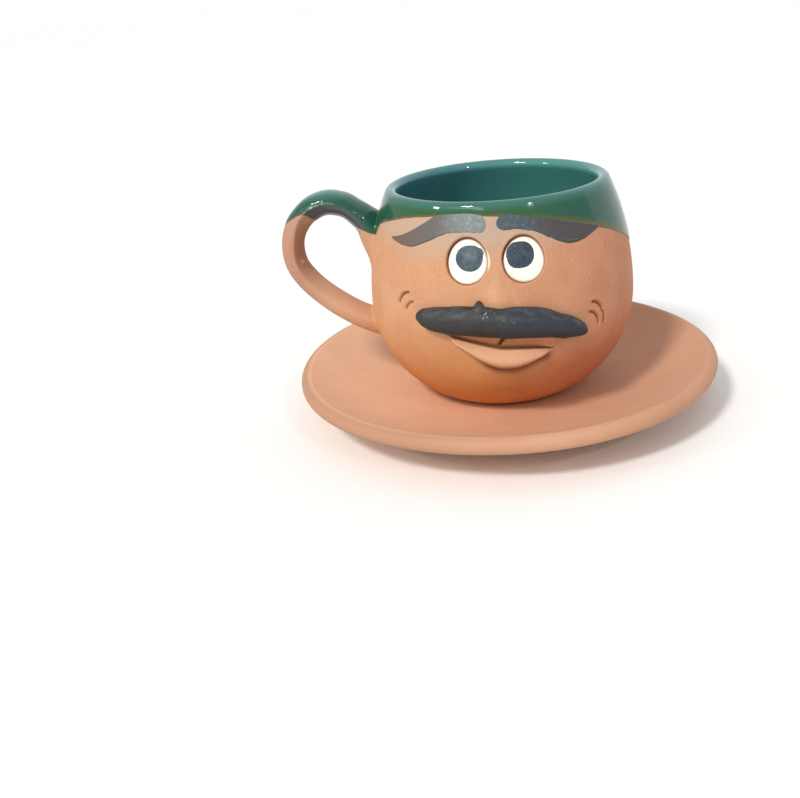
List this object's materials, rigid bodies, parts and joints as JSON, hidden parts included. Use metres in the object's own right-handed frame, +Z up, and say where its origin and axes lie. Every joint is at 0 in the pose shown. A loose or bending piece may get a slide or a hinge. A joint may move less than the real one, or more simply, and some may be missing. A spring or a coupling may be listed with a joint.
{
  "type": "clay cup and saucer",
  "caption": "Small rounded clay cup with a looped strap handle, a dipped green glaze and a comic face in relief, standing loose in the well of a round, shallow clay saucer.",
  "frame": {"origin": "centre of the saucer's flat foot, on the table", "axes": "+Z up out of the cup's mouth; -Y the way the face looks; the handle reaches out along -X"},
  "size_m": [0.1221, 0.1206, 0.0643],
  "materials": {
    "saucer_clay": "smooth unglazed pinkish terracotta, slightly burnished",
    "cup_clay": "fine unglazed terracotta, paler at the shoulder and redder at the base",
    "green_glaze": "glossy bottle-green glaze, olive and thin at its lower edge",
    "white_slip": "smooth matt ivory-white slip",
    "slate_slip": "matt slate-grey slip, brushed, with pale specks",
    "brow_slip": "thin brushed brown-grey slip",
    "dark_clay": "matt charcoal clay, slightly worn to grey along its crest"
  },
  "bodies": {
    "saucer": {"saucer": "saucer_clay"},
    "cup": {"cup_bowl": "cup_clay", "handle": "cup_clay", "bowl_glaze": "green_glaze", "handle_glaze": "green_glaze", "left_eye_white": "white_slip", "right_eye_white": "white_slip", "left_pupil": "slate_slip", "right_pupil": "slate_slip", "left_eyebrow": "brow_slip", "right_eyebrow": "brow_slip", "moustache": "dark_clay", "nose": "cup_clay", "upper_lip": "cup_clay", "lower_lip": "cup_clay"}
  },
  "joints": [
    {"name": "cup_lift", "type": "slide", "parent": "saucer", "child": "cup", "axis": [0, 0, 1], "range_m": [0, 0.08]}
  ]
}
